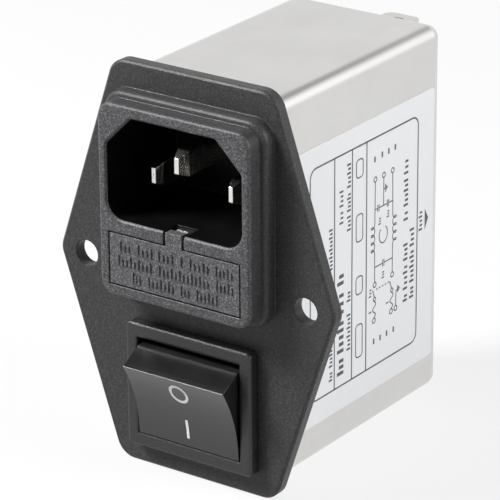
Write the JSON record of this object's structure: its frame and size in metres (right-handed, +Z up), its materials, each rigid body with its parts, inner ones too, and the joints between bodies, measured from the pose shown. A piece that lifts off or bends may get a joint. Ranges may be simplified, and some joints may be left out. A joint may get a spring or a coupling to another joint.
{
  "type": "filtered power entry module",
  "caption": "Panel-mounted mains inlet with earthed pins, a fuse drawer, a rocker switch and a shielded interference filter in a steel can.",
  "frame": {"origin": "midway between the two panel screw holes, on the back face of the flange", "axes": "+X to the right seen from the front, +Y back into the cabinet, +Z up"},
  "size_m": [0.05, 0.0628, 0.0644],
  "materials": {
    "housing_plastic": "fine moulded grain",
    "drawer_plastic": "fine moulded grain",
    "switch_plastic": "fine moulded grain",
    "rocker_plastic": "smooth satin",
    "can_steel": "tinned, satin",
    "label_sheet": "printed, matt",
    "block_plastic": "moulded",
    "tab_metal": "tinned",
    "copper_strip": "bare copper",
    "board_laminate": "lacquered",
    "ferrite": "sintered",
    "bobbin_plastic": "moulded",
    "capacitor_box": "moulded",
    "capacitor_disc": "dipped coat",
    "resistor_coat": "lacquered",
    "pin_metal": "nickel plated",
    "fuse_glass": "clear",
    "fuse_cap_metal": "nickel plated",
    "fuse_wire": "drawn",
    "contact_brass": "rolled",
    "plunger_plastic": "moulded",
    "spring_steel": "drawn",
    "copper_winding": "enamelled",
    "lead_insulation": "extruded"
  },
  "bodies": {
    "module": {"bleed_resistor": "resistor_coat", "choke_bobbin": "bobbin_plastic", "choke_core_lower": "ferrite", "choke_core_upper": "ferrite", "choke_winding_live": "copper_winding", "choke_winding_neutral": "copper_winding", "earth_pin": "pin_metal", "earth_strap": "copper_strip", "earth_tab": "tab_metal", "filter_board": "board_laminate", "front_housing": "housing_plastic", "live_common_terminal": "contact_brass", "live_filter_lead": "lead_insulation", "live_fuse_contact_front": "contact_brass", "live_fuse_contact_rear": "contact_brass", "live_fuse_lead": "lead_insulation", "live_inlet_lead": "lead_insulation", "live_pin": "pin_metal", "live_switched_terminal": "contact_brass", "live_tab": "tab_metal", "neutral_common_terminal": "contact_brass", "neutral_filter_lead": "lead_insulation", "neutral_fuse_contact_front": "contact_brass", "neutral_fuse_contact_rear": "contact_brass", "neutral_fuse_lead": "lead_insulation", "neutral_inlet_lead": "lead_insulation", "neutral_pin": "pin_metal", "neutral_switched_terminal": "contact_brass", "neutral_tab": "tab_metal", "rating_label": "label_sheet", "rear_terminal_block": "block_plastic", "shield_can": "can_steel", "switch_body": "switch_plastic", "x_capacitor": "capacitor_box", "y_capacitor_live": "capacitor_disc", "y_capacitor_neutral": "capacitor_disc"},
    "drawer": {"fuse_drawer": "drawer_plastic", "live_fuse_element": "fuse_wire", "live_fuse_front_cap": "fuse_cap_metal", "live_fuse_glass": "fuse_glass", "live_fuse_rear_cap": "fuse_cap_metal", "neutral_fuse_element": "fuse_wire", "neutral_fuse_front_cap": "fuse_cap_metal", "neutral_fuse_glass": "fuse_glass", "neutral_fuse_rear_cap": "fuse_cap_metal"},
    "rocker": {"rocker": "rocker_plastic", "live_plunger": "plunger_plastic", "live_plunger_spring": "spring_steel", "neutral_plunger": "plunger_plastic", "neutral_plunger_spring": "spring_steel"},
    "live_contact": {"live_contact_bar": "contact_brass"},
    "neutral_contact": {"neutral_contact_bar": "contact_brass"}
  },
  "joints": [
    {"name": "rocker_tilt", "type": "hinge", "parent": "module", "child": "rocker", "pos_m": [0, -0.00065, -0.0184], "axis": [-1, 0, 0], "range_deg": [0, 34.8]},
    {"name": "drawer_slide", "type": "slide", "parent": "module", "child": "drawer", "axis": [0, -1, 0], "range_m": [0, 0.025]},
    {"name": "live_contact_tilt", "type": "hinge", "parent": "module", "child": "live_contact", "pos_m": [0, 0.0043, -0.0184], "axis": [1, 0, 0], "range_deg": [0, 16]},
    {"name": "neutral_contact_tilt", "type": "hinge", "parent": "module", "child": "neutral_contact", "pos_m": [0, 0.0043, -0.0184], "axis": [1, 0, 0], "range_deg": [0, 16]}
  ],
  "couplings": [
    {"joint": "live_contact_tilt", "follows": "rocker_tilt", "ratio": 0.45977},
    {"joint": "neutral_contact_tilt", "follows": "rocker_tilt", "ratio": 0.45977}
  ]
}
